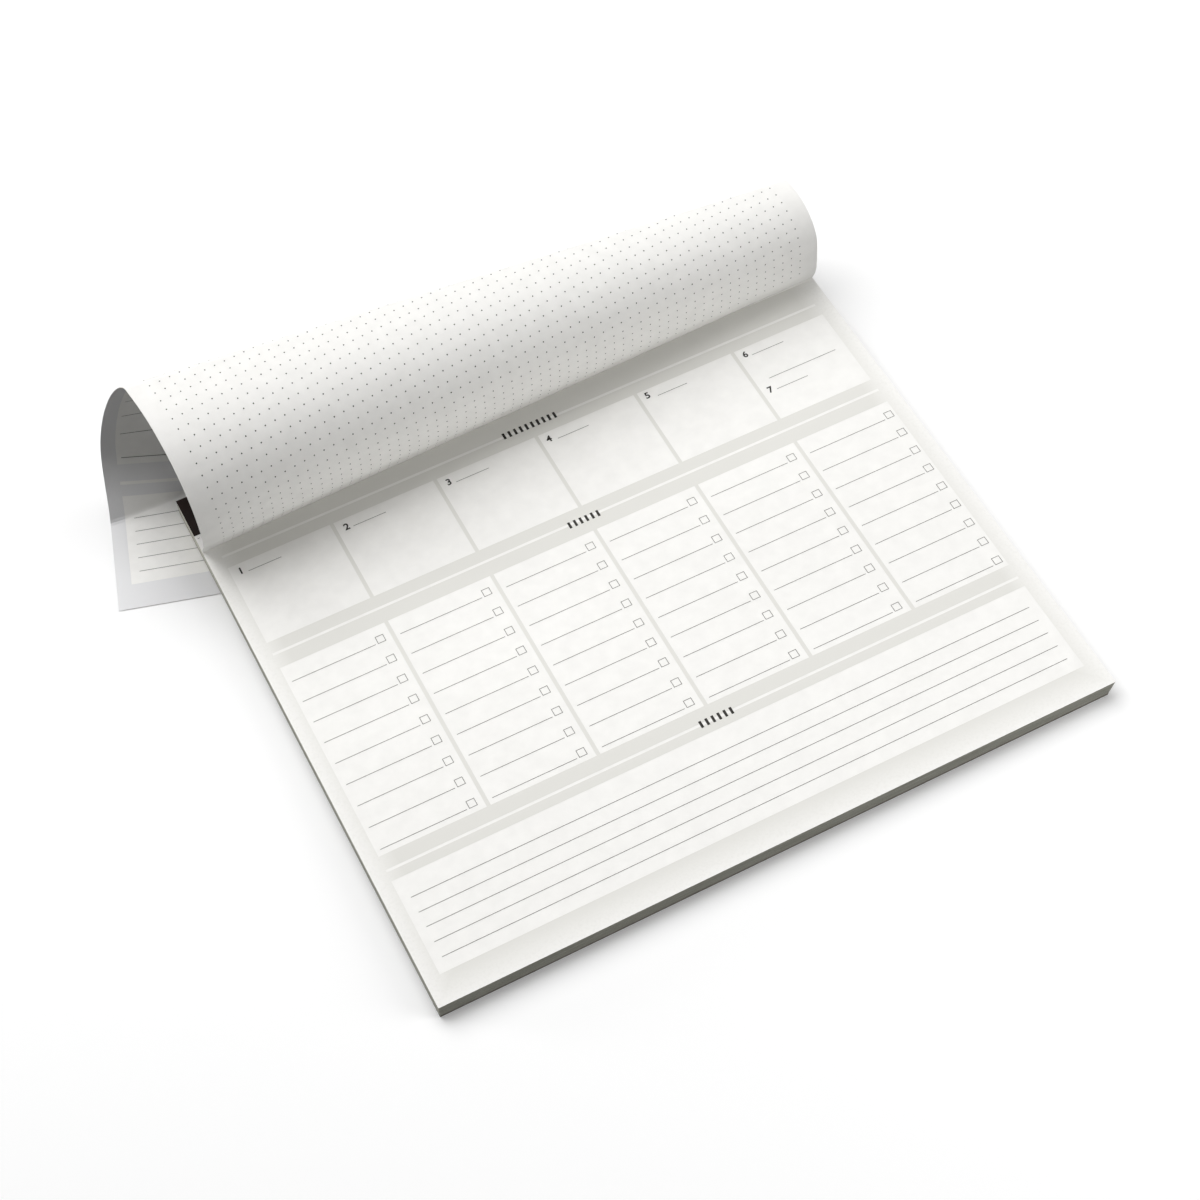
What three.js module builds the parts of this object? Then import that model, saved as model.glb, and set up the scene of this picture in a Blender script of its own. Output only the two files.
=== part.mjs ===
// A weekly planner desk pad: a block of sheets on a card back, bound along its back edge by a dark tape.
// The top sheet is turned up at its fold. It loops over behind the pad, lands on the table and runs forward
// under the pad. Millimetres: X along the front edge, Y towards the bound edge, Z up from the table.
import * as THREE from 'three';
import { mergeVertices } from 'three/addons/utils/BufferGeometryUtils.js';

// The pad.
const PAD_WIDTH = 330;
const PAGE_LENGTH = 265.5; // from the front edge to the perforation
const STUB_LENGTH = 2; // bare strip between the perforation and the tape
const TAPE_FLAP = 22.5; // width of the tape on the top and on the underside
const BLOCK_HEIGHT = 7.75;
const BOARD_THICKNESS = 1;
const TAPE_THICKNESS = 0.25;
const SHEET_THICKNESS = 0.25;
const END_LEAN = 3; // how far the right end of the stack slants in, from the top sheet down to the table

// The turned sheet. Its fold runs a little askew of the perforation, so the curl is part of a cone. It is
// counted in front of the perforation, and at the right edge it lies just behind it.
const FOLD_LEFT = 8.2;
const FOLD_RIGHT = -1.4;
const CONE_LENGTH = 843; // left edge to the tip of the cone, along X
const FOLD_RISE = THREE.MathUtils.degToRad(61.5); // how steeply the sheet leaves the fold, leaning forward
const BULGE_REACH = 6.6; // the section at the left edge: its front, its crown, its rear and its landing
const BULGE_HEIGHT = 44.2;
const CROWN_SETBACK = 36.6;
const CROWN_HEIGHT = 86.8;
const REAR_BELLY = 8.7; // how far the rear of the loop stands behind the line where it lands
const REAR_HEIGHT = 28.3;
const LANDING_GAP = 1.5; // from the taped edge to the landing line, at the right edge
const FRONT_SWELL = 11.5; // the loose left end springs open past the cone's shape, in front and behind
const REAR_SWELL = 13;
const CROWN_DROOP = 2; // and hangs a little at its top

const SEGMENTS = 20; // facets in each quarter of the curl

// Heights of the stack: the sheet's tail, the tape's lower flap, the board, the block and the turned sheet.
const padDepth = PAGE_LENGTH + STUB_LENGTH + TAPE_FLAP;
const tapeBottom = SHEET_THICKNESS;
const boardBottom = tapeBottom + TAPE_THICKNESS;
const blockBottom = boardBottom + BOARD_THICKNESS;
const blockTop = blockBottom + BLOCK_HEIGHT;
const tapeTop = blockTop + SHEET_THICKNESS + TAPE_THICKNESS;

const paper = new THREE.MeshStandardMaterial({ color: 0xf3f2ee, roughness: 0.85, metalness: 0 });
const chipboard = new THREE.MeshStandardMaterial({ color: 0x6a665c, roughness: 0.95, metalness: 0 });
const tape = new THREE.MeshStandardMaterial({ color: 0x1d100d, roughness: 0.6, metalness: 0 });

function namedMesh(name, geometry, material) {
  const mesh = new THREE.Mesh(geometry, material);
  mesh.name = name;
  return mesh;
}

// A profile of [y, z] corners drawn across the pad and run along its whole width.
function acrossPad(corners) {
  const shape = new THREE.Shape(corners.map(([y, z]) => new THREE.Vector2(y, z)));
  const geometry = new THREE.ExtrudeGeometry(shape, { depth: PAD_WIDTH, bevelEnabled: false });
  const axes = new THREE.Matrix4().makeBasis(
    new THREE.Vector3(0, 1, 0),
    new THREE.Vector3(0, 0, 1),
    new THREE.Vector3(1, 0, 0),
  );
  return leanRightEnd(geometry.applyMatrix4(axes));
}

// Slants the right end of a layer, so that the whole stack shares one slanted face.
function leanRightEnd(geometry) {
  const position = geometry.attributes.position;
  for (let i = 0; i < position.count; i++) {
    if (position.getX(i) < PAD_WIDTH / 2) continue;
    const depthBelowTop = (tapeTop - position.getZ(i)) / tapeTop;
    position.setX(i, PAD_WIDTH - END_LEAN * depthBelowTop);
  }
  geometry.computeVertexNormals();
  return geometry;
}

function layer(bottom, top) {
  return acrossPad([[0, bottom], [padDepth, bottom], [padDepth, top], [0, top]]);
}

// The tape wraps the bound edge: over the turned sheet's strip, down the back and under the board.
function wrappedTape() {
  const front = padDepth - TAPE_FLAP;
  const back = padDepth + TAPE_THICKNESS;
  return acrossPad([
    [front, tapeBottom],
    [back, tapeBottom],
    [back, tapeTop],
    [front, tapeTop],
    [front, tapeTop - TAPE_THICKNESS],
    [padDepth, tapeTop - TAPE_THICKNESS],
    [padDepth, boardBottom],
    [front, boardBottom],
  ]);
}

// The turned sheet laid flat: u from its left edge, v from the perforation towards its loose edge. All of its
// straight lines run to the cone's tip, and the angle of one is counted from the direction of -X.
const foldSlope = (FOLD_LEFT - FOLD_RIGHT) / PAD_WIDTH;
const foldAngle = Math.atan(foldSlope);
const tipV = FOLD_LEFT - CONE_LENGTH * foldSlope;
const stripMiddle = blockTop + SHEET_THICKNESS / 2;
const tip = new THREE.Vector3(CONE_LENGTH, PAGE_LENGTH - tipV, stripMiddle);

// The landing line runs behind the taped edge. It is set at the right edge and found at the left along the cone.
function landingSetback() {
  const atRight = padDepth + TAPE_THICKNESS + LANDING_GAP;
  const share = 1 - PAD_WIDTH / CONE_LENGTH;
  const atLeft = tip.y + (atRight - tip.y) / share;
  return atLeft - (PAGE_LENGTH - FOLD_LEFT);
}

// Cubic curve that leaves its start and reaches its end along the given directions, as a quarter ellipse does.
function quarter(start, startPull, end, endPull) {
  return new THREE.CubicBezierCurve(start, start.clone().add(startPull), end.clone().add(endPull), end);
}

// The curl cut at the pad's left edge, as points [behind the fold, above the strip], from fold to landing.
// Each curve's pulls are shares of its own reach.
function curlSection() {
  const landingY = landingSetback();
  const fold = new THREE.Vector2(0, 0);
  const bulge = new THREE.Vector2(-BULGE_REACH, BULGE_HEIGHT);
  const crown = new THREE.Vector2(CROWN_SETBACK, CROWN_HEIGHT);
  const rear = new THREE.Vector2(landingY + REAR_BELLY, REAR_HEIGHT);
  const landing = new THREE.Vector2(landingY, 0);
  const up = (length) => new THREE.Vector2(0, length);
  const back = (length) => new THREE.Vector2(length, 0);
  const rise = new THREE.Vector2(-Math.cos(FOLD_RISE), Math.sin(FOLD_RISE)).multiplyScalar(0.365 * bulge.length());
  const overBulge = up(0.555 * (CROWN_HEIGHT - BULGE_HEIGHT));
  const beforeCrown = back(-0.454 * (CROWN_SETBACK + BULGE_REACH));
  const afterCrown = back(0.352 * (rear.x - CROWN_SETBACK));
  const parts = [
    quarter(fold, rise, bulge, up(-0.482 * BULGE_HEIGHT)),
    quarter(bulge, overBulge, crown, beforeCrown),
    quarter(crown, afterCrown, rear, up(0.336 * (CROWN_HEIGHT - REAR_HEIGHT))),
    quarter(rear, up(-0.505 * REAR_HEIGHT), landing, back(0.462 * REAR_BELLY)),
  ];
  return parts.flatMap((part, i) => part.getPoints(SEGMENTS).slice(i === 0 ? 0 : 1));
}

// A smooth hump over the quarters of the curl, 1 at its middle and 0 beyond its reach.
function hump(quarters, middle, reach) {
  const away = (quarters - middle) / reach;
  return Math.abs(away) < 1 ? Math.cos((Math.PI / 2) * away) ** 2 : 0;
}

// How far the left end of each straight line stands off the cone, outward from the loop.
function swellAt(section, i) {
  const quarters = i / SEGMENTS;
  const front = FRONT_SWELL * hump(quarters, 1.1, 1.1);
  const rear = REAR_SWELL * hump(quarters, 2.8, 1);
  const outward = front + rear - CROWN_DROOP * hump(quarters, 2, 1.5);
  const before = section[Math.max(i - 1, 0)];
  const after = section[Math.min(i + 1, section.length - 1)];
  const along = after.clone().sub(before).normalize();
  return new THREE.Vector3(0, -along.y, along.x).multiplyScalar(outward);
}

// Each straight line of the curl: its angle in the flat sheet, and its direction from the tip in space. The
// angle between two neighbours is the same in both.
function curlRulings() {
  const foldY = PAGE_LENGTH - FOLD_LEFT;
  let angle = foldAngle;
  let before = null;
  return curlSection().map((point, i, section) => {
    const direction = new THREE.Vector3(0, foldY + point.x, stripMiddle + point.y).sub(tip).normalize();
    if (before) angle += direction.angleTo(before);
    before = direction;
    return { angle, direction, swell: swellAt(section, i) };
  });
}

const rulings = curlRulings();
const landingRuling = rulings[rulings.length - 1];
const freeAngle = rulings[SEGMENTS].angle;

// How far a line of the sheet has come down from the pad's top to the table, from 0 to 1.
function descent(angle) {
  return THREE.MathUtils.smoothstep(angle, freeAngle, landingRuling.angle);
}

// The line of the curl at an angle, between the two nearest that are known.
function rulingAt(angle) {
  const next = rulings.findIndex((ruling) => ruling.angle >= angle);
  if (next <= 0) return rulings[0];
  const a = rulings[next - 1];
  const b = rulings[next];
  const share = (angle - a.angle) / (b.angle - a.angle);
  const direction = a.direction.clone().lerp(b.direction, share).normalize();
  return { angle, direction, swell: a.swell.clone().lerp(b.swell, share) };
}

// Beyond the landing line the sheet lies flat, turned clockwise as the cone has turned it.
function onTable(u, v) {
  const away = new THREE.Vector2(u - CONE_LENGTH, tipV - v);
  const landed = Math.atan2(landingRuling.direction.y, landingRuling.direction.x);
  const flat = Math.PI + landingRuling.angle;
  away.rotateAround(new THREE.Vector2(0, 0), landed - flat);
  return new THREE.Vector3(tip.x + away.x, tip.y + away.y, SHEET_THICKNESS / 2);
}

// A point of the sheet's middle surface, from its place in the flat sheet.
function sheetPoint(u, v) {
  const angle = Math.atan2(v - tipV, CONE_LENGTH - u);
  if (angle <= foldAngle) return new THREE.Vector3(u, PAGE_LENGTH - v, stripMiddle);
  if (angle >= landingRuling.angle) return onTable(u, v);
  const ruling = rulingAt(angle);
  const point = ruling.direction.clone().multiplyScalar(Math.hypot(CONE_LENGTH - u, v - tipV)).add(tip);
  point.addScaledVector(ruling.swell, 1 - u / PAD_WIDTH);
  point.z -= descent(angle) * (stripMiddle - SHEET_THICKNESS / 2);
  return point;
}

// The part of a line that lies on the sheet, as [u, v] at its left and right ends.
function lineOnSheet(angle) {
  const slope = Math.tan(angle);
  const vAtLeft = tipV + slope * CONE_LENGTH;
  const vAtRight = tipV + slope * (CONE_LENGTH - PAD_WIDTH);
  const left = vAtLeft <= PAGE_LENGTH ? [0, vAtLeft] : [CONE_LENGTH - (PAGE_LENGTH - tipV) / slope, PAGE_LENGTH];
  return [left, [PAD_WIDTH, vAtRight]];
}

// The sheet's rows, from the bound edge to the loose edge. Each is a straight line, flat and in space.
function sheetRows() {
  const cornerAngle = Math.atan2(PAGE_LENGTH - tipV, CONE_LENGTH);
  const angles = rulings.map((ruling) => ruling.angle);
  if (cornerAngle < landingRuling.angle) angles.push(cornerAngle);
  angles.sort((a, b) => a - b);
  const strip = [[0, PAGE_LENGTH - padDepth], [PAD_WIDTH, PAGE_LENGTH - padDepth]];
  const lines = [strip, ...angles.map(lineOnSheet)];
  const [lastLeft] = lines[lines.length - 1];
  lines.push([[lastLeft[1] < PAGE_LENGTH ? 0 : lastLeft[0], PAGE_LENGTH], [PAD_WIDTH, PAGE_LENGTH]]);
  return lines.map((line) => line.map(([u, v]) => sheetPoint(u, v)));
}

// The printed side's normal of the flat facet between two rows.
function facetNormal(row, next) {
  const along = row[1].clone().sub(row[0]).normalize();
  return next[1].clone().sub(row[1]).cross(along).normalize();
}

// Gives the rows a thickness, mitred where two facets meet, and closes the solid all round.
function thickSheet(rows) {
  const normals = rows.slice(1).map((row, i) => facetNormal(rows[i], row));
  const positions = [];
  rows.forEach((row, i) => {
    const before = normals[Math.max(i - 1, 0)];
    const after = normals[Math.min(i, normals.length - 1)];
    const mitre = before.clone().add(after).normalize();
    mitre.multiplyScalar(SHEET_THICKNESS / 2 / mitre.dot(after));
    for (const side of [1, -1]) {
      for (const end of row) positions.push(...end.clone().addScaledVector(mitre, side).toArray());
    }
  });
  const index = [];
  const quad = (a, b, c, d) => index.push(a, b, c, a, c, d);
  for (let i = 0; i < rows.length - 1; i++) {
    const [a, b, c, d] = [0, 1, 2, 3].map((corner) => 4 * i + corner);
    quad(a, a + 4, b + 4, b);
    quad(c, d, d + 4, c + 4);
    quad(a, c, c + 4, a + 4);
    quad(b, b + 4, d + 4, d);
  }
  const last = 4 * (rows.length - 1);
  quad(0, 1, 3, 2);
  quad(last, last + 2, last + 3, last + 1);
  return closedGeometry(positions, index);
}

// Joins corners that coincide and leaves out the triangles that this closes up.
function closedGeometry(positions, index) {
  const geometry = new THREE.BufferGeometry();
  geometry.setAttribute('position', new THREE.Float32BufferAttribute(positions, 3));
  geometry.setIndex(index);
  const merged = mergeVertices(geometry, 1e-3);
  const kept = [];
  const corners = merged.index.array;
  for (let i = 0; i < corners.length; i += 3) {
    const [a, b, c] = corners.slice(i, i + 3);
    if (a !== b && b !== c && c !== a) kept.push(a, b, c);
  }
  merged.setIndex(kept);
  merged.computeVertexNormals();
  return merged;
}

const planner = new THREE.Group();
planner.add(namedMesh('page_block', layer(blockBottom, blockTop), paper));
planner.add(namedMesh('backing_board', layer(boardBottom, blockBottom), chipboard));
planner.add(namedMesh('binding_tape', wrappedTape(), tape));
planner.add(namedMesh('turned_sheet', thickSheet(sheetRows()), paper));

// The origin lies on the table, under the middle of the whole object.
const box = new THREE.Box3().setFromObject(planner);
const middle = box.getCenter(new THREE.Vector3());
planner.position.set(-middle.x, -middle.y, -box.min.z);

export default planner;
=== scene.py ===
"""A weekly planner desk pad with its top sheet turned over behind it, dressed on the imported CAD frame."""
import math
import random

import bpy
import numpy as np
from mathutils import Matrix, Vector


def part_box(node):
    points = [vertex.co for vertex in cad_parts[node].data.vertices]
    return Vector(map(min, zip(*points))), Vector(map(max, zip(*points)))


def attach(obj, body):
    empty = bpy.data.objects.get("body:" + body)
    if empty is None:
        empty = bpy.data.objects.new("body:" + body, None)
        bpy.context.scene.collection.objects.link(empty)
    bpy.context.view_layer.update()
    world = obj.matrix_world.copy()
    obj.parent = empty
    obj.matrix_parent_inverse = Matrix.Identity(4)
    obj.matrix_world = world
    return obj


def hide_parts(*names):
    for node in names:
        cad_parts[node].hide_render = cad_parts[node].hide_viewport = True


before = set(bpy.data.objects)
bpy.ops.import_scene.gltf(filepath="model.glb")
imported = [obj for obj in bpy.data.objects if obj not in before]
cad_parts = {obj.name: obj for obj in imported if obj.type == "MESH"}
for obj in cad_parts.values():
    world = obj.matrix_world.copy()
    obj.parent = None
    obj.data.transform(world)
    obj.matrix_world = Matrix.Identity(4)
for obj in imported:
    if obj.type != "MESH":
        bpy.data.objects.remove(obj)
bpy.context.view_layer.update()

MM = 0.001

# Sizes in millimetres, the same as the solid model's.
PAD_WIDTH = 330.0
PAGE_LENGTH = 265.5
STUB_LENGTH = 2.0
TAPE_FLAP = 22.5
BLOCK_HEIGHT = 7.75
TAPE_THICKNESS = 0.25
SHEET_THICKNESS = 0.25
BLOCK_BOTTOM = 1.5
END_LEAN = 3.0
FOLD_LEFT = 8.2
FOLD_RIGHT = -1.4
CONE_LENGTH = 843.0
FOLD_RISE = math.radians(61.5)
BULGE_REACH = 6.6
BULGE_HEIGHT = 44.2
CROWN_SETBACK = 36.6
CROWN_HEIGHT = 86.8
REAR_BELLY = 8.7
REAR_HEIGHT = 28.3
LANDING_GAP = 1.5
FRONT_SWELL = 11.5
REAR_SWELL = 13.0
CROWN_DROOP = 2.0

# How far each bend of the curl is pulled out, as a share of the run that it rounds.
RISE_PULL = 0.365
BULGE_PULL_DOWN = 0.482
BULGE_PULL_UP = 0.555
CROWN_PULL_FRONT = 0.454
CROWN_PULL_REAR = 0.352
REAR_PULL_UP = 0.336
REAR_PULL_DOWN = 0.505
LANDING_PULL = 0.462

# Where each swell of the left end has its middle, and how far it reaches, in quarters of the curl.
FRONT_HUMP = (1.1, 1.1)
REAR_HUMP = (2.8, 1.0)
CROWN_HUMP = (2.0, 1.5)

PAD_DEPTH = PAGE_LENGTH + STUB_LENGTH + TAPE_FLAP
BLOCK_TOP = BLOCK_BOTTOM + BLOCK_HEIGHT
TAPE_TOP = BLOCK_TOP + SHEET_THICKNESS + TAPE_THICKNESS
STRIP_MIDDLE = BLOCK_TOP + SHEET_THICKNESS / 2

# The pad's front left corner on the table. Pad millimetres are counted from it.
block_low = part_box("page_block")[0]
PAD_CORNER = Vector((block_low.x, block_low.y, 0))


def in_frame(points):
    """Pad millimetres to metres in the part's frame."""
    return np.asarray(points, float) * MM + np.array(PAD_CORNER)


# The turned sheet. A place on it is u, from its left edge, and v, from the perforation towards its loose edge.
# It follows a cone, whose straight lines run to the tip. Then the left end of each line is moved outwards, or at
# the crown down, and the move fades to nothing at the right edge. Paper doesn't stretch as this surface does.
FOLD_SLOPE = (FOLD_LEFT - FOLD_RIGHT) / PAD_WIDTH
TIP_V = FOLD_LEFT - CONE_LENGTH * FOLD_SLOPE
TIP = np.array([CONE_LENGTH, PAGE_LENGTH - TIP_V, STRIP_MIDDLE])
QUARTER_STEPS = 48


def landing_setback():
    """How far behind the fold the left end of the landing line lies, so that its right end clears the tape."""
    at_right = PAD_DEPTH + TAPE_THICKNESS + LANDING_GAP
    at_left = TIP[1] + (at_right - TIP[1]) / (1 - PAD_WIDTH / CONE_LENGTH)
    return at_left - (PAGE_LENGTH - FOLD_LEFT)


def cubic(start, pull_start, end, pull_end, steps):
    """Points on the curve from start to end, with a pull at each."""
    t = np.linspace(0, 1, steps + 1)[:, None]
    a = np.array(start, float)
    b = a + np.array(pull_start, float)
    d = np.array(end, float)
    c = d + np.array(pull_end, float)
    return (1 - t) ** 3 * a + 3 * (1 - t) ** 2 * t * b + 3 * (1 - t) * t ** 2 * c + t ** 3 * d


def curl_section():
    """The curl cut at the left edge, as rows of (behind the fold, above the strip)."""
    landing = landing_setback()
    bulge = (-BULGE_REACH, BULGE_HEIGHT)
    crown = (CROWN_SETBACK, CROWN_HEIGHT)
    rear = (landing + REAR_BELLY, REAR_HEIGHT)
    rise = RISE_PULL * math.hypot(*bulge)
    upper_front = CROWN_HEIGHT - BULGE_HEIGHT
    upper_rear = CROWN_HEIGHT - REAR_HEIGHT
    before_crown = -CROWN_PULL_FRONT * (CROWN_SETBACK + BULGE_REACH)
    after_crown = CROWN_PULL_REAR * (rear[0] - CROWN_SETBACK)
    parts = [
        cubic((0, 0), (-rise * math.cos(FOLD_RISE), rise * math.sin(FOLD_RISE)),
              bulge, (0, -BULGE_PULL_DOWN * BULGE_HEIGHT), QUARTER_STEPS),
        cubic(bulge, (0, BULGE_PULL_UP * upper_front), crown, (before_crown, 0), QUARTER_STEPS),
        cubic(crown, (after_crown, 0), rear, (0, REAR_PULL_UP * upper_rear), QUARTER_STEPS),
        cubic(rear, (0, -REAR_PULL_DOWN * REAR_HEIGHT),
              (landing, 0), (LANDING_PULL * REAR_BELLY, 0), QUARTER_STEPS),
    ]
    return np.concatenate([parts[0]] + [part[1:] for part in parts[1:]])


def hump(quarters, middle, reach):
    """A smooth hump over the quarters of the curl, 1 at its middle and 0 beyond its reach."""
    away = np.clip(np.abs(quarters - middle) / reach, 0, 1)
    return np.cos(math.pi / 2 * away) ** 2


def end_swell(section):
    """How far the left end of each straight line stands off the cone, outward from the loop."""
    quarters = np.arange(len(section)) / QUARTER_STEPS
    outward = FRONT_SWELL * hump(quarters, *FRONT_HUMP) + REAR_SWELL * hump(quarters, *REAR_HUMP)
    outward -= CROWN_DROOP * hump(quarters, *CROWN_HUMP)
    along = np.gradient(section, axis=0)
    along /= np.linalg.norm(along, axis=1)[:, None]
    return np.stack([np.zeros(len(section)), -along[:, 1] * outward, along[:, 0] * outward], 1)


def curl_rulings():
    """Each straight line's angle in the flat sheet, its direction from the tip in space, and its swell."""
    section = curl_section()
    ends = np.stack([np.zeros(len(section)),
                     PAGE_LENGTH - FOLD_LEFT + section[:, 0],
                     STRIP_MIDDLE + section[:, 1]], 1)
    directions = ends - TIP
    directions /= np.linalg.norm(directions, axis=1)[:, None]
    turns = np.arccos(np.clip((directions[1:] * directions[:-1]).sum(1), -1, 1))
    angles = math.atan(FOLD_SLOPE) + np.concatenate([[0], np.cumsum(turns)])
    return angles, directions, end_swell(section)


RULING_ANGLES, RULING_DIRECTIONS, RULING_SWELL = curl_rulings()
LANDING_ANGLE = RULING_ANGLES[-1]
FREE_ANGLE = RULING_ANGLES[QUARTER_STEPS]


def ruling_angle(u, v):
    """The angle at the tip of the straight line through a place on the flat sheet."""
    return np.arctan2(v - TIP_V, CONE_LENGTH - u)


def along_curl(angle, values):
    """Values kept for each straight line, read between the lines."""
    return np.stack([np.interp(angle, RULING_ANGLES, values[:, k]) for k in range(3)], -1)


def sheet_middle(u, v):
    """Points of the sheet's middle surface, in pad millimetres."""
    u, v = np.broadcast_arrays(np.asarray(u, float), np.asarray(v, float))
    angle = ruling_angle(u, v)
    inside = np.clip(angle, RULING_ANGLES[0], LANDING_ANGLE)
    toward = along_curl(inside, RULING_DIRECTIONS)
    toward /= np.linalg.norm(toward, axis=-1)[..., None]
    curled = TIP + toward * np.hypot(CONE_LENGTH - u, v - TIP_V)[..., None]
    curled += along_curl(inside, RULING_SWELL) * (1 - u / PAD_WIDTH)[..., None]
    share = np.clip((angle - FREE_ANGLE) / (LANDING_ANGLE - FREE_ANGLE), 0, 1)
    curled[..., 2] -= share ** 2 * (3 - 2 * share) * (STRIP_MIDDLE - SHEET_THICKNESS / 2)
    flat = np.stack([u, PAGE_LENGTH - v, np.full(u.shape, STRIP_MIDDLE)], -1)
    landed = math.atan2(RULING_DIRECTIONS[-1][1], RULING_DIRECTIONS[-1][0])
    turn = landed - (math.pi + LANDING_ANGLE)
    du, dv = u - CONE_LENGTH, TIP_V - v
    table = np.stack([TIP[0] + du * math.cos(turn) - dv * math.sin(turn),
                      TIP[1] + du * math.sin(turn) + dv * math.cos(turn),
                      np.full(u.shape, SHEET_THICKNESS / 2)], -1)
    points = np.where((angle <= RULING_ANGLES[0])[..., None], flat, curled)
    return np.where((angle >= LANDING_ANGLE)[..., None], table, points)


def sheet_normal(u, v):
    """The printed side's normal, from a short step each way on the same side of the fold."""
    step = 0.05
    v = np.asarray(v, float)
    fold = TIP_V + math.tan(RULING_ANGLES[0]) * (CONE_LENGTH - u)
    side = np.where(v >= fold, 1.0, -1.0)
    here = sheet_middle(u, v)
    along = sheet_middle(u + step, v + side * 2 * step) - sheet_middle(u - step, v + side * 2 * step)
    across = (sheet_middle(u, v + side * step) - here) * side[..., None]
    normal = np.cross(across, along)
    return normal / np.linalg.norm(normal, axis=-1)[..., None]


def sheet_point(u, v, lift):
    """lift is counted from the middle surface, positive on the printed side."""
    return sheet_middle(u, v) + sheet_normal(u, v) * lift


# Materials.
def linear(red, green, blue):
    """0 to 255 screen values as a linear colour."""
    def one(c):
        c /= 255
        return c / 12.92 if c <= 0.04045 else ((c + 0.055) / 1.055) ** 2.4
    return (one(red), one(green), one(blue), 1)


def new_material(name, colour, roughness, specular=0.3):
    material = bpy.data.materials.new(name)
    material.use_nodes = True
    shader = material.node_tree.nodes["Principled BSDF"]
    shader.inputs["Base Color"].default_value = colour
    shader.inputs["Roughness"].default_value = roughness
    shader.inputs["Specular IOR Level"].default_value = specular
    return material, material.node_tree, shader


def node(tree, kind, **values):
    made = tree.nodes.new(kind)
    for key, value in values.items():
        setattr(made, key, value)
    return made


def math_node(tree, operation, a, b=None):
    made = node(tree, "ShaderNodeMath", operation=operation)
    for socket, value in zip(made.inputs, (a, b)):
        if isinstance(value, (int, float)):
            socket.default_value = value
        elif value is not None:
            tree.links.new(value, socket)
    return made.outputs[0]


def placed_noise(tree, scale, stretch=(1, 1, 1), detail=4.0):
    """Noise in metres of the part, so that its grain keeps its real size."""
    place = node(tree, "ShaderNodeTexCoord")
    mapping = node(tree, "ShaderNodeMapping")
    mapping.inputs["Scale"].default_value = stretch
    noise = node(tree, "ShaderNodeTexNoise")
    noise.inputs["Scale"].default_value = scale
    noise.inputs["Detail"].default_value = detail
    tree.links.new(place.outputs["Object"], mapping.inputs["Vector"])
    tree.links.new(mapping.outputs["Vector"], noise.inputs["Vector"])
    return noise.outputs["Fac"]


def mixed(tree, share, low, high, from_low=0.0, from_high=1.0):
    """A colour that runs from low to high as share runs between two values."""
    span = node(tree, "ShaderNodeMapRange")
    span.inputs["From Min"].default_value = from_low
    span.inputs["From Max"].default_value = from_high
    tree.links.new(share, span.inputs["Value"])
    mix = node(tree, "ShaderNodeMix", data_type="RGBA")
    tree.links.new(span.outputs["Result"], mix.inputs["Factor"])
    for name, colour in (("A", low), ("B", high)):
        socket = [s for s in mix.inputs if s.name == name and s.type == "RGBA"][0]
        if isinstance(colour, tuple):
            socket.default_value = colour
        else:
            tree.links.new(colour, socket)
    return [s for s in mix.outputs if s.type == "RGBA"][0]


def bumped(tree, shader, height, strength, distance):
    bump = node(tree, "ShaderNodeBump")
    bump.inputs["Strength"].default_value = strength
    bump.inputs["Distance"].default_value = distance
    tree.links.new(height, bump.inputs["Height"])
    tree.links.new(bump.outputs["Normal"], shader.inputs["Normal"])


def paper_material(name, dark, light):
    """Uncoated paper: cloudy where the fibres are thicker, with a fine tooth."""
    material, tree, shader = new_material(name, light, 0.78, 0.25)
    cloud = placed_noise(tree, 160, detail=3)
    tree.links.new(mixed(tree, cloud, dark, light, 0.3, 0.7), shader.inputs["Base Color"])
    bumped(tree, shader, placed_noise(tree, 2600, detail=5), 0.25, 0.00003)
    return material


def panel_material(name, inner, outer, margin):
    """The grey panel round the boxes. It fades towards the sheet's edges."""
    material, tree, shader = new_material(name, inner, 0.8, 0.25)
    place = node(tree, "ShaderNodeTexCoord")
    parts = node(tree, "ShaderNodeSeparateXYZ")
    tree.links.new(place.outputs["Object"], parts.inputs["Vector"])
    left = math_node(tree, "SUBTRACT", parts.outputs["X"], PAD_CORNER.x)
    right = math_node(tree, "SUBTRACT", PAD_CORNER.x + PAD_WIDTH * MM, parts.outputs["X"])
    front = math_node(tree, "SUBTRACT", parts.outputs["Y"], PAD_CORNER.y)
    edge = math_node(tree, "MINIMUM", math_node(tree, "MINIMUM", left, right), front)
    faded = mixed(tree, edge, outer, inner, 0.0, margin)
    cloud = placed_noise(tree, 900, detail=4)
    tree.links.new(mixed(tree, cloud, faded, inner, 0.45, 1.4), shader.inputs["Base Color"])
    bumped(tree, shader, placed_noise(tree, 2600, detail=5), 0.25, 0.00003)
    return material


def ink_material(name, colour):
    """Matte ink that lets a little of the paper's tooth through."""
    material, tree, shader = new_material(name, colour, 0.7, 0.25)
    bumped(tree, shader, placed_noise(tree, 2600, detail=5), 0.2, 0.00002)
    return material


def edge_material():
    """Cut edges of the block: fine lines along the sheets, each sheet a little lighter or darker. All its greys
    are darker than the cut paper's own colour, as painted shade on the block's sides.
    """
    # Painted shade: these greys are darker than cut paper really is, so that the block's front and sides read as
    # shaded.
    material, tree, shader = new_material("BlockEdgeShaded", linear(193, 192, 182), 0.85, 0.15)
    sheets = placed_noise(tree, 30, (1, 1, 260), 2)
    dark = linear(147, 146, 133)
    light = linear(201, 200, 191)
    tree.links.new(mixed(tree, sheets, dark, light, 0.3, 0.7), shader.inputs["Base Color"])
    bumped(tree, shader, placed_noise(tree, 900, (1, 1, 6), 4), 0.4, 0.00004)
    return material


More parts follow.
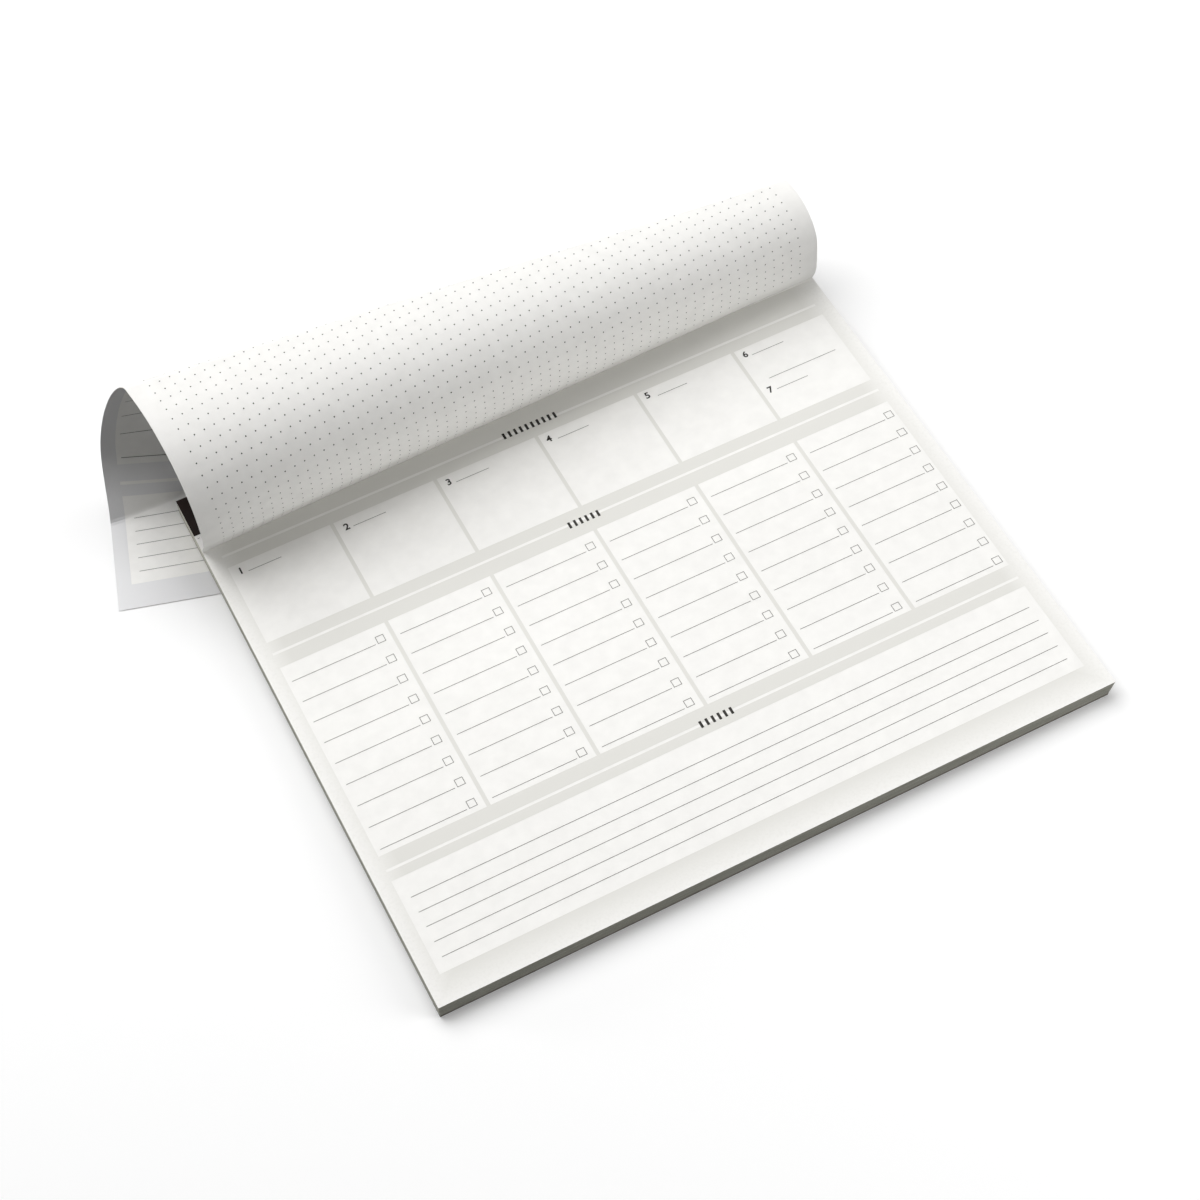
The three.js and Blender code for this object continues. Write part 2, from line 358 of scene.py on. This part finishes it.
def tape_material():
    """Dark book cloth tape: a fine leather-like grain with a dull sheen, rubbed lighter in places."""
    material, tree, shader = new_material("BindingTape", linear(26, 12, 9), 0.62, 0.22)
    place = node(tree, "ShaderNodeTexCoord")
    cells = node(tree, "ShaderNodeTexVoronoi", feature="DISTANCE_TO_EDGE")
    cells.inputs["Scale"].default_value = 1500
    tree.links.new(place.outputs["Object"], cells.inputs["Vector"])
    rubbed = placed_noise(tree, 60, detail=6)
    dark = linear(22, 10, 8)
    light = linear(40, 23, 18)
    tree.links.new(mixed(tree, rubbed, dark, light, 0.4, 0.75), shader.inputs["Base Color"])
    bumped(tree, shader, cells.outputs["Distance"], 0.5, 0.00012)
    return material


def board_material():
    """Grey chipboard: pale and dark flecks of recycled fibre."""
    material, tree, shader = new_material("Chipboard", linear(128, 124, 113), 0.95, 0.15)
    fleck = placed_noise(tree, 1400, (1, 0.35, 1), 6)
    cloud = placed_noise(tree, 90, detail=4)
    base = mixed(tree, cloud, linear(112, 108, 98), linear(134, 130, 118), 0.3, 0.7)
    tree.links.new(mixed(tree, fleck, base, linear(84, 80, 72), 0.58, 0.72), shader.inputs["Base Color"])
    bumped(tree, shader, placed_noise(tree, 900, detail=6), 0.5, 0.00008)
    return material


PAPER = paper_material("PagePaper", linear(242, 241, 238), linear(247, 246, 243))
SHEET_PAPER = paper_material("SheetPaper", linear(242, 241, 238), linear(247, 246, 243))
PANEL = panel_material("PanelTint", linear(225, 224, 219), linear(246, 245, 242), 14 * MM)
SHEET_PANEL = ink_material("SheetPanelTint", linear(229, 229, 230))
RULE = ink_material("RuleInk", linear(120, 119, 114))
HEADING_INK = ink_material("HeadingInk", linear(52, 50, 47))
DOT = ink_material("DotInk", linear(44, 44, 44))
# Painted shade: the perforation's cuts are drawn as grey slots on the paper, standing for the shade in the slits.
PERFORATION_SHADE = ink_material("PerforationSlotShade", linear(120, 118, 112))
EDGE = edge_material()
TAPE = tape_material()
BOARD = board_material()


def mesh_object(name, points, faces, materials, smooth=False):
    """A mesh from points in pad millimetres."""
    mesh = bpy.data.meshes.new(name)
    mesh.from_pydata(in_frame(points).tolist(), [], [tuple(int(i) for i in face) for face in faces])
    mesh.validate()
    for material in materials:
        mesh.materials.append(material)
    if smooth:
        mesh.polygons.foreach_set("use_smooth", [True] * len(mesh.polygons))
    piece = bpy.data.objects.new(name, mesh)
    bpy.context.scene.collection.objects.link(piece)
    return piece


# The turned sheet.
SHEET_COLUMNS = 44
TAIL_ROWS = 10
CORNER_RADIUS = 3.0
CORNER_ROWS = 6
HALF_SHARE = 0.48


def sheet_rows():
    """Rows of (u, v) at the left and right ends, from the bound edge to the loose edge."""
    rows = [((0, PAGE_LENGTH - PAD_DEPTH), (PAD_WIDTH, PAGE_LENGTH - PAD_DEPTH))]
    for angle in RULING_ANGLES:
        slope = math.tan(angle)
        rows.append(((0, TIP_V + slope * CONE_LENGTH), (PAD_WIDTH, TIP_V + slope * (CONE_LENGTH - PAD_WIDTH))))
    landing = rows[-1]
    last = PAGE_LENGTH - CORNER_RADIUS
    for step in range(1, TAIL_ROWS + 1):
        share = step / TAIL_ROWS
        left = landing[0][1] + share * (last - landing[0][1])
        right = landing[1][1] + share * (last - landing[1][1])
        rows.append(((0, left), (PAD_WIDTH, right)))
    for step in range(1, CORNER_ROWS + 1):
        turn = math.pi / 2 * step / CORNER_ROWS
        inset = CORNER_RADIUS * (1 - math.cos(turn))
        v = last + CORNER_RADIUS * math.sin(turn)
        rows.append(((inset, v), (PAD_WIDTH - inset, v)))
    return rows


def turned_sheet():
    """The sheet as a closed skin: a printed side, a plain side and a rim between them."""
    rows = sheet_rows()
    share = np.linspace(0, 1, SHEET_COLUMNS + 1)
    u = np.array([left[0] + share * (right[0] - left[0]) for left, right in rows])
    v = np.array([left[1] + share * (right[1] - left[1]) for left, right in rows])
    half = HALF_SHARE * SHEET_THICKNESS
    printed = sheet_point(u, v, half)
    plain = sheet_point(u, v, -half)
    count = u.size
    points = np.concatenate([printed.reshape(-1, 3), plain.reshape(-1, 3)])
    wide = SHEET_COLUMNS + 1
    faces = []
    for row in range(len(rows) - 1):
        for column in range(SHEET_COLUMNS):
            a = row * wide + column
            b = a + 1
            faces.append((a, a + wide, b + wide, b))
            faces.append((count + a, count + b, count + b + wide, count + a + wide))
    rim = [row * wide for row in range(len(rows))]
    rim += [(len(rows) - 1) * wide + column for column in range(1, wide)]
    rim += [row * wide + SHEET_COLUMNS for row in range(len(rows) - 2, -1, -1)]
    rim += list(range(SHEET_COLUMNS - 1, 0, -1))
    for a, b in zip(rim, rim[1:] + rim[:1]):
        faces.append((a, count + a, count + b, b))
    piece = mesh_object("TurnedSheet", points, faces, [SHEET_PAPER], smooth=True)
    piece.data.set_sharp_from_angle(angle=math.radians(40))
    return piece


# The block of sheets.
SHEET_COUNT = 52
GROOVE = 0.05
RIDGE_EDGE = 0.12
SLACK_LEAST = 0.02
SLACK_SPREAD = 0.05
DRIFT_SPREAD = 0.04
WALL_STEPS = 14


def end_lean(z):
    """How far the right end stands in at a height, because the stack leans."""
    return END_LEAN * (TAPE_TOP - z) / TAPE_TOP


def block_outline(z, inset, drift):
    """One level of the block's wall: corners and points between, wandering a little as cut sheets do."""
    right = PAD_WIDTH - end_lean(z) - inset
    corners = [(inset, inset), (right, inset), (right, PAD_DEPTH - inset), (inset, PAD_DEPTH - inset)]
    out = []
    for k, (start, end) in enumerate(zip(corners, corners[1:] + corners[:1])):
        for step in range(WALL_STEPS):
            share = step / WALL_STEPS
            x = start[0] + (end[0] - start[0]) * share
            y = start[1] + (end[1] - start[1]) * share
            sway = drift[k % 4] * math.sin(math.pi * share)
            out.append((x + sway if k % 2 else x, y + sway if k % 2 == 0 else y, z))
    return out


def page_block():
    """Every sheet of the block shows at its edges as a thin ridge."""
    dice = random.Random(7)
    pitch = BLOCK_HEIGHT / SHEET_COUNT
    levels = []
    for sheet in range(SHEET_COUNT):
        bottom = BLOCK_BOTTOM + sheet * pitch
        slack = SLACK_LEAST + SLACK_SPREAD * dice.random()
        drift = [DRIFT_SPREAD * (dice.random() - 0.5) for _ in range(4)]
        levels.append(block_outline(bottom + RIDGE_EDGE * pitch, slack, drift))
        levels.append(block_outline(bottom + (1 - RIDGE_EDGE) * pitch, slack, drift))
        if sheet < SHEET_COUNT - 1:
            levels.append(block_outline(bottom + pitch, slack + GROOVE, drift))
    levels[0] = [(x, y, BLOCK_BOTTOM) for x, y, _ in levels[0]]
    levels[-1] = [(x, y, BLOCK_TOP) for x, y, _ in levels[-1]]
    around = len(levels[0])
    points = [point for level in levels for point in level]
    faces = [tuple(range(around))[::-1]]
    for level in range(len(levels) - 1):
        for k in range(around):
            a = level * around + k
            b = level * around + (k + 1) % around
            faces.append((a, b, b + around, a + around))
    faces.append(tuple(range((len(levels) - 1) * around, len(levels) * around)))
    piece = mesh_object("PageBlock", points, faces, [EDGE, PAPER])
    piece.data.polygons[0].material_index = 1
    piece.data.polygons[len(faces) - 1].material_index = 1
    return piece


# The printed layout, in page millimetres from the front left corner.
COLUMN_LEFT = 7.0
COLUMN_PITCH = 53.16
COLUMN_WIDTH = 51.3
COLUMNS = 6
ROW_BOXES = [(197.3, 243.6), (75.0, 182.2)]
NOTES_BOX = (13.5, 61.8)
LAYOUT_RIGHT = 322.4
STRIPES = [250.6, 190.3, 67.2]
STRIPE_HEIGHT = 1.3
RULE_WIDTH = 0.28
TODO_FIRST = 173.1
TODO_STEP = 11.91
TODO_LINES = 9
TODO_LINE_INDENT = 2.1
TODO_LINE_LENGTH = 41.0
CHECK_SIZE = 4.0
CHECK_INDENT = 46.2
CHECK_RISE = 1.8
NOTE_LINES = [51.1, 43.3, 35.7, 27.9, 20.2]
NOTE_ENDS = (11.2, 317.9)
DAY_MARKS = [(11.8, 239.4), (64.8, 239.4), (117.7, 239.4), (170.7, 239.4), (223.6, 239.4), (277.0, 239.4),
             (276.7, 215.5)]
DAY_LINES = [(15.0, 31.4, 237.7), (67.9, 84.5, 237.7), (120.8, 137.9, 237.7), (174.3, 190.8, 237.7),
             (228.0, 243.9, 237.7), (279.8, 297.2, 237.9), (280.1, 297.1, 213.9)]
SPLIT_LINE = (280.0, 316.8, 221.4)
HEADINGS = [(151.7, 181.5, 251.0, 10), (155.8, 173.4, 189.9, 6), (158.3, 176.4, 67.3, 6)]
HEADING_HEIGHT = 3.6
HEADING_BAR_SHARE = 0.42
DAY_HEIGHT = 3.8
DAY_BOLDNESS = 0.025

# How far each kind of ink stands off the paper, and how far before the fold it stops.
PANEL_LIFT = 0.03
RULE_LIFT = 0.05
HEADING_LIFT = 0.06
FOLD_MARGIN = 0.3


def boxes():
    """The white boxes as (x0, y0, x1, y1)."""
    out = []
    for front, back in ROW_BOXES:
        for column in range(COLUMNS):
            left = COLUMN_LEFT + column * COLUMN_PITCH
            out.append((left, front, min(left + COLUMN_WIDTH, LAYOUT_RIGHT), back))
    out.append((COLUMN_LEFT, NOTES_BOX[0], LAYOUT_RIGHT, NOTES_BOX[1]))
    return out


def panel_rectangles():
    """The page round the boxes and stripes, in strips that don't overlap."""
    white = boxes()
    white += [(COLUMN_LEFT, y - STRIPE_HEIGHT / 2, LAYOUT_RIGHT, y + STRIPE_HEIGHT / 2) for y in STRIPES]
    xs = sorted({0.0, PAD_WIDTH} | {box[0] for box in white} | {box[2] for box in white})
    ys = sorted({0.0, PAGE_LENGTH} | {box[1] for box in white} | {box[3] for box in white})
    out = []
    for y0, y1 in zip(ys, ys[1:]):
        run = None
        for x0, x1 in zip(xs, xs[1:]):
            middle = ((x0 + x1) / 2, (y0 + y1) / 2)
            covered = any(b[0] < middle[0] < b[2] and b[1] < middle[1] < b[3] for b in white)
            if covered and run:
                out.append(run)
                run = None
            elif not covered:
                run = (run[0], y0, x1, y1) if run else (x0, y0, x1, y1)
        if run:
            out.append(run)
    return out


def level_rule(x0, x1, y):
    return (x0, y - RULE_WIDTH / 2, x1, y + RULE_WIDTH / 2)


def check_box(x, y):
    """The four sides of an open square."""
    half = CHECK_SIZE / 2
    line = RULE_WIDTH
    return [(x - half, y - half, x + half, y - half + line),
            (x - half, y + half - line, x + half, y + half),
            (x - half, y - half + line, x - half + line, y + half - line),
            (x + half - line, y - half + line, x + half, y + half - line)]


def rules():
    out = [level_rule(x0, x1, y) for x0, x1, y in DAY_LINES + [SPLIT_LINE]]
    out += [level_rule(NOTE_ENDS[0], NOTE_ENDS[1], y) for y in NOTE_LINES]
    for column in range(COLUMNS):
        left = COLUMN_LEFT + column * COLUMN_PITCH
        for line in range(TODO_LINES):
            y = TODO_FIRST - line * TODO_STEP
            out.append(level_rule(left + TODO_LINE_INDENT, left + TODO_LINE_INDENT + TODO_LINE_LENGTH, y))
            out += check_box(left + CHECK_INDENT, y + CHECK_RISE)
    return out


def heading_blocks():
    """A row of plain upright bars where a heading stands."""
    out = []
    for x0, x1, y, count in HEADINGS:
        pitch = (x1 - x0) / count
        for k in range(count):
            start = x0 + k * pitch
            out.append((start, y - HEADING_HEIGHT / 2, start + HEADING_BAR_SHARE * pitch, y + HEADING_HEIGHT / 2))
    return out


def numeral_outlines():
    """Plain numbers 1 to 7 as flat points and faces at the day marks."""
    points = []
    faces = []
    for number, (x, y) in enumerate(DAY_MARKS, 1):
        curve = bpy.data.curves.new("numeral", "FONT")
        curve.body = str(number)
        curve.size = 1.0
        curve.offset = DAY_BOLDNESS
        curve.align_x = "CENTER"
        maker = bpy.data.objects.new("numeral", curve)
        mesh = bpy.data.meshes.new_from_object(maker)
        flat = np.array([vertex.co[:2] for vertex in mesh.vertices])
        flat *= DAY_HEIGHT / np.ptp(flat[:, 1])
        flat += np.array([x, y]) - flat.mean(0)
        faces += [[len(points) + i for i in face.vertices] for face in mesh.polygons]
        points += flat.tolist()
        bpy.data.objects.remove(maker)
        bpy.data.meshes.remove(mesh)
        bpy.data.curves.remove(curve)
    return np.array(points), faces


def page_surface(x, y, lift):
    """A place on the printed page, on top of the block."""
    x, y = np.broadcast_arrays(np.asarray(x, float), np.asarray(y, float))
    return np.stack([x, y, np.full(x.shape, BLOCK_TOP + lift)], -1)


def sheet_face(x, y, lift):
    """A place on the printed page, carried to the turned sheet's printed side."""
    return sheet_point(np.asarray(x, float), PAGE_LENGTH - np.asarray(y, float), SHEET_THICKNESS / 2 + lift)


def fold_y(x):
    """Where the fold crosses the page."""
    return PAGE_LENGTH - (TIP_V + math.tan(RULING_ANGLES[0]) * (CONE_LENGTH - x))


def patch(rectangle, step_x, step_y, points, faces):
    """Adds a rectangle to the points and faces as a grid, with steps no longer than those given."""
    x0, y0, x1, y1 = rectangle
    columns = max(1, math.ceil((x1 - x0) / step_x))
    count = max(1, math.ceil((y1 - y0) / step_y))
    base = len(points)
    for row in range(count + 1):
        for column in range(columns + 1):
            points.append((x0 + (x1 - x0) * column / columns, y0 + (y1 - y0) * row / count))
    for row in range(count):
        for column in range(columns):
            a = base + row * (columns + 1) + column
            faces.append((a, a + 1, a + columns + 2, a + columns + 1))


def print_piece(name, rectangles, surface, lift, material, steps):
    points = []
    faces = []
    for rectangle in rectangles:
        patch(rectangle, steps[0], steps[1], points, faces)
    flat = np.array(points)
    return mesh_object(name, surface(flat[:, 0], flat[:, 1], lift), faces, [material])


def trimmed_at_fold(rectangles):
    """The part of each rectangle in front of the fold's lowest place, so that none bends there."""
    limit = fold_y(0) - FOLD_MARGIN
    return [(x0, y0, x1, min(y1, limit)) for x0, y0, x1, y1 in rectangles if y0 < limit]


def printed_layout(prefix, surface, panel, steps, trim=None):
    trim = trim or (lambda rectangles: rectangles)
    made = [print_piece(prefix + "Panel", trim(panel_rectangles()), surface, PANEL_LIFT, panel, steps),
            print_piece(prefix + "Rules", trim(rules()), surface, RULE_LIFT, RULE, steps),
            print_piece(prefix + "Headings", trim(heading_blocks()), surface, HEADING_LIFT, HEADING_INK, steps)]
    flat, faces = numeral_outlines()
    made.append(mesh_object(prefix + "Numerals", surface(flat[:, 0], flat[:, 1], HEADING_LIFT), faces,
                            [HEADING_INK]))
    return made


# The dot grid on the back of the turned sheet, and the perforation.
DOT_PITCH = 5.0
DOT_COLUMNS = 63
DOT_MARGIN = 10.0
DOT_FIRST = 12.07
DOT_RADIUS = 0.33
DOT_SIDES = 8
DOT_END_MARGIN = 8.0
SLOT_PITCH = 1.85
SLOT_LENGTH = 1.0
SLOT_WIDTH = 0.25
SLOT_FIRST = 1.0


def dot_grid():
    turns = np.arange(DOT_SIDES) * 2 * math.pi / DOT_SIDES
    ring = np.stack([np.cos(turns), np.sin(turns)], 1) * DOT_RADIUS
    centres = []
    v = DOT_FIRST
    while v < PAGE_LENGTH - DOT_END_MARGIN:
        centres += [(DOT_MARGIN + DOT_PITCH * k, v) for k in range(DOT_COLUMNS)]
        v += DOT_PITCH
    flat = (np.array(centres)[:, None, :] + ring[None]).reshape(-1, 2)
    points = sheet_point(flat[:, 0], flat[:, 1], -(SHEET_THICKNESS / 2 + PANEL_LIFT))
    faces = [tuple(range(k * DOT_SIDES, (k + 1) * DOT_SIDES)) for k in range(len(centres))]
    return mesh_object("DotGrid", points, faces, [DOT])


def perforation():
    # The slots are grey patches laid on the printed side: painted shade where the paper is cut.
    count = int(PAD_WIDTH / SLOT_PITCH)
    slots = []
    for k in range(count):
        x = SLOT_FIRST + k * SLOT_PITCH
        slots.append((x, PAGE_LENGTH - SLOT_WIDTH / 2, x + SLOT_LENGTH, PAGE_LENGTH + SLOT_WIDTH / 2))
    return print_piece("Perforation", slots, sheet_face, RULE_LIFT, PERFORATION_SHADE, (10, 2))


def add_piece(piece, replaced=None):
    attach(piece, "root")
    if replaced:
        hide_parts(replaced)


def dress_node(name, material):
    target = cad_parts[name]
    if not target.material_slots:
        target.data.materials.append(material)
    for slot in target.material_slots:
        slot.material = material


def add_pieces():
    add_piece(page_block(), "page_block")
    add_piece(turned_sheet(), "turned_sheet")
    for piece in printed_layout("Page", page_surface, PANEL, (400, 400)):
        add_piece(piece)
    for piece in printed_layout("Sheet", sheet_face, SHEET_PANEL, (10, 1.5), trimmed_at_fold):
        add_piece(piece)
    add_piece(dot_grid())
    add_piece(perforation())
    dress_node("binding_tape", TAPE)
    dress_node("backing_board", BOARD)


# The room: a pale floor, soft light mostly from behind the pad on its left, and the photograph's viewpoint.
FLOOR_HALF = 6.0
FLOOR_DROP = 0.0001
FLOOR_BOUNCE = (0.12, 0.12, 0.12, 1)
FLOOR_SEEN = (0.88, 0.88, 0.88, 1)
FLOOR_GLOW = 0.14
WORLD_GLOW = 0.07


def floor():
    """The camera sees it paler than the light that it throws back on the pad."""
    material, tree, shader = new_material("StudioFloor", FLOOR_SEEN, 0.9, 0.1)
    path = node(tree, "ShaderNodeLightPath")
    lift = math_node(tree, "MULTIPLY", path.outputs["Is Camera Ray"], FLOOR_GLOW)
    seen = mixed(tree, path.outputs["Is Camera Ray"], FLOOR_BOUNCE, FLOOR_SEEN)
    tree.links.new(seen, shader.inputs["Base Color"])
    shader.inputs["Emission Color"].default_value = (1, 1, 1, 1)
    tree.links.new(lift, shader.inputs["Emission Strength"])
    mesh = bpy.data.meshes.new("StudioFloor")
    half = FLOOR_HALF
    mesh.from_pydata([(-half, -half, 0), (half, -half, 0), (half, half, 0), (-half, half, 0)], [], [(0, 1, 2, 3)])
    mesh.materials.append(material)
    plane = bpy.data.objects.new("StudioFloor", mesh)
    plane.location.z = -FLOOR_DROP
    bpy.context.scene.collection.objects.link(plane)


def area_light(name, place, target, size, watts):
    lamp = bpy.data.lights.new(name, "AREA")
    lamp.shape = "DISK"
    lamp.size = size
    lamp.energy = watts
    holder = bpy.data.objects.new(name, lamp)
    holder.location = place
    holder.rotation_euler = (Vector(target) - Vector(place)).to_track_quat("-Z", "Y").to_euler()
    bpy.context.scene.collection.objects.link(holder)


def lights():
    area_light("Key", (-0.35, 0.93, 1.6), (0, 0, 0), 2.0, 35.5)
    area_light("Top", (0.55, 0.25, 1.3), (0.1, 0, 0), 0.8, 2.8)
    area_light("Fill", (0.85, -0.75, 0.5), (0, 0, 0), 0.8, 6.7)
    area_light("Side", (-1.5, 0.9, 0.15), (0, 0, 0), 0.5, 12)
    world = bpy.data.worlds.new("StudioWorld")
    world.use_nodes = True
    tree = world.node_tree
    back = tree.nodes["Background"]
    path = node(tree, "ShaderNodeLightPath")
    seen = math_node(tree, "MAXIMUM", path.outputs["Is Camera Ray"], WORLD_GLOW)
    back.inputs["Color"].default_value = (1, 1, 1, 1)
    tree.links.new(seen, back.inputs["Strength"])
    bpy.context.scene.world = world


CAMERA_PLACE = (-101.3, -404.2, 926.6)
CAMERA_RIGHT = (0.8887, -0.4574, -0.0313)
CAMERA_UP = (0.3975, 0.7346, 0.5498)
FOCAL_PIXELS = 2422.8
IMAGE_PIXELS = 1200
SENSOR_WIDTH = 36


def camera():
    lens = bpy.data.cameras.new("Camera")
    lens.sensor_width = SENSOR_WIDTH
    lens.lens = FOCAL_PIXELS / IMAGE_PIXELS * SENSOR_WIDTH
    lens.clip_start = 0.05
    lens.clip_end = 50
    right = Vector(CAMERA_RIGHT).normalized()
    back = right.cross(Vector(CAMERA_UP)).normalized()
    up = back.cross(right)
    holder = bpy.data.objects.new("Camera", lens)
    turn = Matrix((right, up, back)).transposed().to_4x4()
    holder.matrix_world = Matrix.Translation(in_frame([CAMERA_PLACE])[0].tolist()) @ turn
    bpy.context.scene.collection.objects.link(holder)
    bpy.context.scene.camera = holder


camera()
floor()
lights()
add_pieces()
bpy.context.scene.view_settings.view_transform = "Standard"
